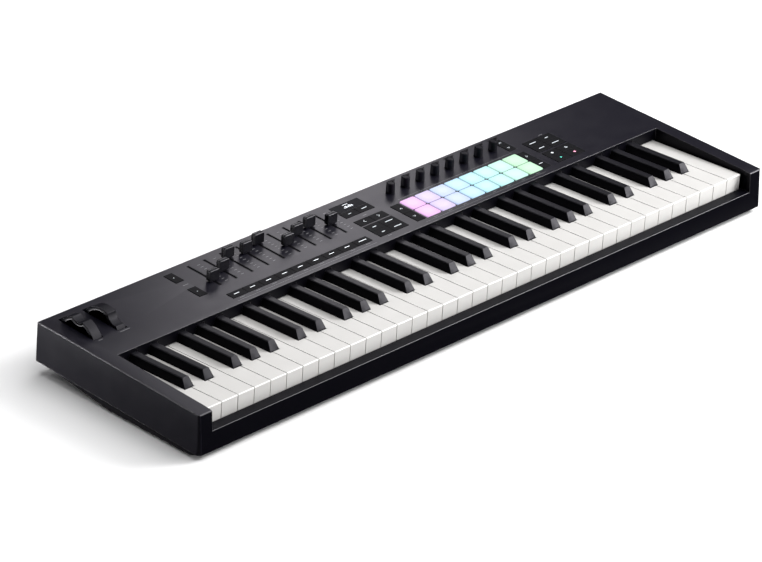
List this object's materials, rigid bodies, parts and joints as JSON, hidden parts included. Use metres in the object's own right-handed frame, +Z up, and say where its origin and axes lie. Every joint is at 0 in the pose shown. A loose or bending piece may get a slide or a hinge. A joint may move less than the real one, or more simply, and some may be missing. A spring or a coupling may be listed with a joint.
{
  "type": "keyboard controller synthesizer",
  "caption": "Low slab keyboard synthesizer: a charcoal case with piano keys along the front, two finger wheels, faders, knobs, lit pads and lit buttons on its panel.",
  "frame": {"origin": "on the surface the instrument stands on, under the middle of the case", "axes": "+X to the player's right along the keys, +Y away from the player, +Z up"},
  "size_m": [0.89, 0.2598, 0.0769],
  "materials": {
    "case": "fine moulded grain",
    "base": "matt",
    "white_key": "satin",
    "black_key": "satin",
    "control": "soft matt",
    "wheel": "soft matt",
    "button": "matt silicone",
    "pad": "translucent silicone, lit from inside",
    "display": "glossy window",
    "board": "solder mask",
    "chassis": "moulded",
    "metal": "plated",
    "screw": "blackened",
    "socket": "matt",
    "foot": "matt",
    "print": "printed ink",
    "light": "lit window"
  },
  "bodies": {
    "case": {"top_case": "case", "bottom_case": "base", "key_frame": "chassis", "key_contact_board": "board", "main_board": "board", "panel_board": "board", "display_module": "chassis", "display_window": "display", "rubber_feet": "foot", "case_screws": "screw", "usb_socket": "metal", "pedal_jacks": "socket", "midi_socket": "socket", "fader_bodies": "metal", "encoder_bodies": "metal", "wheel_housing": "chassis"},
    "keys_c": {"keys_c": "white_key"},
    "keys_c_sharp": {"keys_c_sharp": "black_key"},
    "keys_d": {"keys_d": "white_key"},
    "keys_d_sharp": {"keys_d_sharp": "black_key"},
    "keys_e": {"keys_e": "white_key"},
    "keys_f": {"keys_f": "white_key"},
    "keys_f_sharp": {"keys_f_sharp": "black_key"},
    "keys_g": {"keys_g": "white_key"},
    "keys_g_sharp": {"keys_g_sharp": "black_key"},
    "keys_a": {"keys_a": "white_key"},
    "keys_a_sharp": {"keys_a_sharp": "black_key"},
    "keys_b": {"keys_b": "white_key"},
    "key_top_c": {"key_top_c": "white_key"},
    "pitch_wheel": {"pitch_wheel": "wheel"},
    "mod_wheel": {"mod_wheel": "wheel"},
    "pad_row_front": {"pad_row_front": "pad"},
    "pad_row_back": {"pad_row_back": "pad"},
    "octave_buttons": {"octave_buttons": "button"},
    "fader_buttons": {"fader_buttons": "button"},
    "display_buttons": {"display_buttons": "button"},
    "track_buttons": {"track_buttons": "button"},
    "edit_buttons": {"edit_buttons": "button"},
    "pad_bank_buttons": {"pad_bank_buttons": "button"},
    "scene_buttons": {"scene_buttons": "button"},
    "encoder_bank_buttons": {"encoder_bank_buttons": "button"},
    "function_buttons": {"function_buttons": "button"},
    "transport_buttons": {"transport_buttons": "button"},
    "fader_cap_1": {"fader_cap_1": "control"},
    "fader_cap_2": {"fader_cap_2": "control"},
    "fader_cap_3": {"fader_cap_3": "control"},
    "fader_cap_4": {"fader_cap_4": "control"},
    "fader_cap_5": {"fader_cap_5": "control"},
    "fader_cap_6": {"fader_cap_6": "control"},
    "fader_cap_7": {"fader_cap_7": "control"},
    "fader_cap_8": {"fader_cap_8": "control"},
    "fader_cap_9": {"fader_cap_9": "control"},
    "encoder_knob_1": {"encoder_knob_1": "control"},
    "encoder_knob_2": {"encoder_knob_2": "control"},
    "encoder_knob_3": {"encoder_knob_3": "control"},
    "encoder_knob_4": {"encoder_knob_4": "control"},
    "encoder_knob_5": {"encoder_knob_5": "control"},
    "encoder_knob_6": {"encoder_knob_6": "control"},
    "encoder_knob_7": {"encoder_knob_7": "control"},
    "encoder_knob_8": {"encoder_knob_8": "control"}
  },
  "joints": [
    {"name": "keys_c_press", "type": "hinge", "parent": "case", "child": "keys_c", "pos_m": [0, 0.04968, 0.03988], "axis": [1, 0, 0], "range_deg": [0, 3.4], "stiffness_Nm_per_rad": 0.9, "springref_deg": -28.65},
    {"name": "keys_c_sharp_press", "type": "hinge", "parent": "case", "child": "keys_c_sharp", "pos_m": [0, 0.04968, 0.03988], "axis": [1, 0, 0], "range_deg": [0, 3.4], "stiffness_Nm_per_rad": 0.9, "springref_deg": -28.65},
    {"name": "keys_d_press", "type": "hinge", "parent": "case", "child": "keys_d", "pos_m": [0, 0.04968, 0.03988], "axis": [1, 0, 0], "range_deg": [0, 3.4], "stiffness_Nm_per_rad": 0.9, "springref_deg": -28.65},
    {"name": "keys_d_sharp_press", "type": "hinge", "parent": "case", "child": "keys_d_sharp", "pos_m": [0, 0.04968, 0.03988], "axis": [1, 0, 0], "range_deg": [0, 3.4], "stiffness_Nm_per_rad": 0.9, "springref_deg": -28.65},
    {"name": "keys_e_press", "type": "hinge", "parent": "case", "child": "keys_e", "pos_m": [0, 0.04968, 0.03988], "axis": [1, 0, 0], "range_deg": [0, 3.4], "stiffness_Nm_per_rad": 0.9, "springref_deg": -28.65},
    {"name": "keys_f_press", "type": "hinge", "parent": "case", "child": "keys_f", "pos_m": [0, 0.04968, 0.03988], "axis": [1, 0, 0], "range_deg": [0, 3.4], "stiffness_Nm_per_rad": 0.9, "springref_deg": -28.65},
    {"name": "keys_f_sharp_press", "type": "hinge", "parent": "case", "child": "keys_f_sharp", "pos_m": [0, 0.04968, 0.03988], "axis": [1, 0, 0], "range_deg": [0, 3.4], "stiffness_Nm_per_rad": 0.9, "springref_deg": -28.65},
    {"name": "keys_g_press", "type": "hinge", "parent": "case", "child": "keys_g", "pos_m": [0, 0.04968, 0.03988], "axis": [1, 0, 0], "range_deg": [0, 3.4], "stiffness_Nm_per_rad": 0.9, "springref_deg": -28.65},
    {"name": "keys_g_sharp_press", "type": "hinge", "parent": "case", "child": "keys_g_sharp", "pos_m": [0, 0.04968, 0.03988], "axis": [1, 0, 0], "range_deg": [0, 3.4], "stiffness_Nm_per_rad": 0.9, "springref_deg": -28.65},
    {"name": "keys_a_press", "type": "hinge", "parent": "case", "child": "keys_a", "pos_m": [0, 0.04968, 0.03988], "axis": [1, 0, 0], "range_deg": [0, 3.4], "stiffness_Nm_per_rad": 0.9, "springref_deg": -28.65},
    {"name": "keys_a_sharp_press", "type": "hinge", "parent": "case", "child": "keys_a_sharp", "pos_m": [0, 0.04968, 0.03988], "axis": [1, 0, 0], "range_deg": [0, 3.4], "stiffness_Nm_per_rad": 0.9, "springref_deg": -28.65},
    {"name": "keys_b_press", "type": "hinge", "parent": "case", "child": "keys_b", "pos_m": [0, 0.04968, 0.03988], "axis": [1, 0, 0], "range_deg": [0, 3.4], "stiffness_Nm_per_rad": 0.9, "springref_deg": -28.65},
    {"name": "key_top_c_press", "type": "hinge", "parent": "case", "child": "key_top_c", "pos_m": [0, 0.04968, 0.03988], "axis": [1, 0, 0], "range_deg": [0, 3.4], "stiffness_Nm_per_rad": 0.18, "springref_deg": -28.65},
    {"name": "pitch_bend", "type": "hinge", "parent": "case", "child": "pitch_wheel", "pos_m": [-0.4174, 0.08751, 0.04544], "axis": [-1, 0, 0], "range_deg": [-35, 35], "stiffness_Nm_per_rad": 0.06},
    {"name": "modulation_turn", "type": "hinge", "parent": "case", "child": "mod_wheel", "pos_m": [-0.3835, 0.08751, 0.04544], "axis": [-1, 0, 0], "range_deg": [0, 70]},
    {"name": "pad_row_front_press", "type": "slide", "parent": "case", "child": "pad_row_front", "axis": [0, 0.0332, -0.9995], "range_m": [0, 0.0008], "stiffness_N_per_m": 4000, "springref_m": -0.0005},
    {"name": "pad_row_back_press", "type": "slide", "parent": "case", "child": "pad_row_back", "axis": [0, 0.0332, -0.9995], "range_m": [0, 0.0008], "stiffness_N_per_m": 4000, "springref_m": -0.0005},
    {"name": "octave_buttons_press", "type": "slide", "parent": "case", "child": "octave_buttons", "axis": [0, 0.0332, -0.9995], "range_m": [0, 0.0006], "stiffness_N_per_m": 800, "springref_m": -0.0006},
    {"name": "fader_buttons_press", "type": "slide", "parent": "case", "child": "fader_buttons", "axis": [0, 0.0332, -0.9995], "range_m": [0, 0.0006], "stiffness_N_per_m": 800, "springref_m": -0.0006},
    {"name": "display_buttons_press", "type": "slide", "parent": "case", "child": "display_buttons", "axis": [0, 0.0332, -0.9995], "range_m": [0, 0.0006], "stiffness_N_per_m": 800, "springref_m": -0.0006},
    {"name": "track_buttons_press", "type": "slide", "parent": "case", "child": "track_buttons", "axis": [0, 0.0332, -0.9995], "range_m": [0, 0.0006], "stiffness_N_per_m": 800, "springref_m": -0.0006},
    {"name": "edit_buttons_press", "type": "slide", "parent": "case", "child": "edit_buttons", "axis": [0, 0.0332, -0.9995], "range_m": [0, 0.0006], "stiffness_N_per_m": 800, "springref_m": -0.0006},
    {"name": "pad_bank_buttons_press", "type": "slide", "parent": "case", "child": "pad_bank_buttons", "axis": [0, 0.0332, -0.9995], "range_m": [0, 0.0006], "stiffness_N_per_m": 800, "springref_m": -0.0006},
    {"name": "scene_buttons_press", "type": "slide", "parent": "case", "child": "scene_buttons", "axis": [0, 0.0332, -0.9995], "range_m": [0, 0.0006], "stiffness_N_per_m": 800, "springref_m": -0.0006},
    {"name": "encoder_bank_buttons_press", "type": "slide", "parent": "case", "child": "encoder_bank_buttons", "axis": [0, 0.0332, -0.9995], "range_m": [0, 0.0006], "stiffness_N_per_m": 800, "springref_m": -0.0006},
    {"name": "function_buttons_press", "type": "slide", "parent": "case", "child": "function_buttons", "axis": [0, 0.0332, -0.9995], "range_m": [0, 0.0006], "stiffness_N_per_m": 800, "springref_m": -0.0006},
    {"name": "transport_buttons_press", "type": "slide", "parent": "case", "child": "transport_buttons", "axis": [0, 0.0332, -0.9995], "range_m": [0, 0.0006], "stiffness_N_per_m": 800, "springref_m": -0.0006},
    {"name": "fader_cap_1_slide", "type": "slide", "parent": "case", "child": "fader_cap_1", "axis": [0, 0.9995, 0.0332], "range_m": [-0.0085, 0.0365]},
    {"name": "fader_cap_2_slide", "type": "slide", "parent": "case", "child": "fader_cap_2", "axis": [0, 0.9995, 0.0332], "range_m": [-0.0185, 0.0265]},
    {"name": "fader_cap_3_slide", "type": "slide", "parent": "case", "child": "fader_cap_3", "axis": [0, 0.9995, 0.0332], "range_m": [-0.0365, 0.0085]},
    {"name": "fader_cap_4_slide", "type": "slide", "parent": "case", "child": "fader_cap_4", "axis": [0, 0.9995, 0.0332], "range_m": [-0.033, 0.012]},
    {"name": "fader_cap_5_slide", "type": "slide", "parent": "case", "child": "fader_cap_5", "axis": [0, 0.9995, 0.0332], "range_m": [-0.0395, 0.0055]},
    {"name": "fader_cap_6_slide", "type": "slide", "parent": "case", "child": "fader_cap_6", "axis": [0, 0.9995, 0.0332], "range_m": [-0.0165, 0.0285]},
    {"name": "fader_cap_7_slide", "type": "slide", "parent": "case", "child": "fader_cap_7", "axis": [0, 0.9995, 0.0332], "range_m": [-0.027, 0.018]},
    {"name": "fader_cap_8_slide", "type": "slide", "parent": "case", "child": "fader_cap_8", "axis": [0, 0.9995, 0.0332], "range_m": [-0.032, 0.013]},
    {"name": "fader_cap_9_slide", "type": "slide", "parent": "case", "child": "fader_cap_9", "axis": [0, 0.9995, 0.0332], "range_m": [-0.0215, 0.0235]},
    {"name": "encoder_knob_1_turn", "type": "hinge", "parent": "case", "child": "encoder_knob_1", "pos_m": [0.0622, 0.10165, 0.06262], "axis": [0, -0.0332, 0.9995], "continuous": true},
    {"name": "encoder_knob_2_turn", "type": "hinge", "parent": "case", "child": "encoder_knob_2", "pos_m": [0.0862, 0.10165, 0.06262], "axis": [0, -0.0332, 0.9995], "continuous": true},
    {"name": "encoder_knob_3_turn", "type": "hinge", "parent": "case", "child": "encoder_knob_3", "pos_m": [0.1102, 0.10165, 0.06262], "axis": [0, -0.0332, 0.9995], "continuous": true},
    {"name": "encoder_knob_4_turn", "type": "hinge", "parent": "case", "child": "encoder_knob_4", "pos_m": [0.1342, 0.10165, 0.06262], "axis": [0, -0.0332, 0.9995], "continuous": true},
    {"name": "encoder_knob_5_turn", "type": "hinge", "parent": "case", "child": "encoder_knob_5", "pos_m": [0.1582, 0.10165, 0.06262], "axis": [0, -0.0332, 0.9995], "continuous": true},
    {"name": "encoder_knob_6_turn", "type": "hinge", "parent": "case", "child": "encoder_knob_6", "pos_m": [0.1822, 0.10165, 0.06262], "axis": [0, -0.0332, 0.9995], "continuous": true},
    {"name": "encoder_knob_7_turn", "type": "hinge", "parent": "case", "child": "encoder_knob_7", "pos_m": [0.2062, 0.10165, 0.06262], "axis": [0, -0.0332, 0.9995], "continuous": true},
    {"name": "encoder_knob_8_turn", "type": "hinge", "parent": "case", "child": "encoder_knob_8", "pos_m": [0.2302, 0.10165, 0.06262], "axis": [0, -0.0332, 0.9995], "continuous": true}
  ]
}
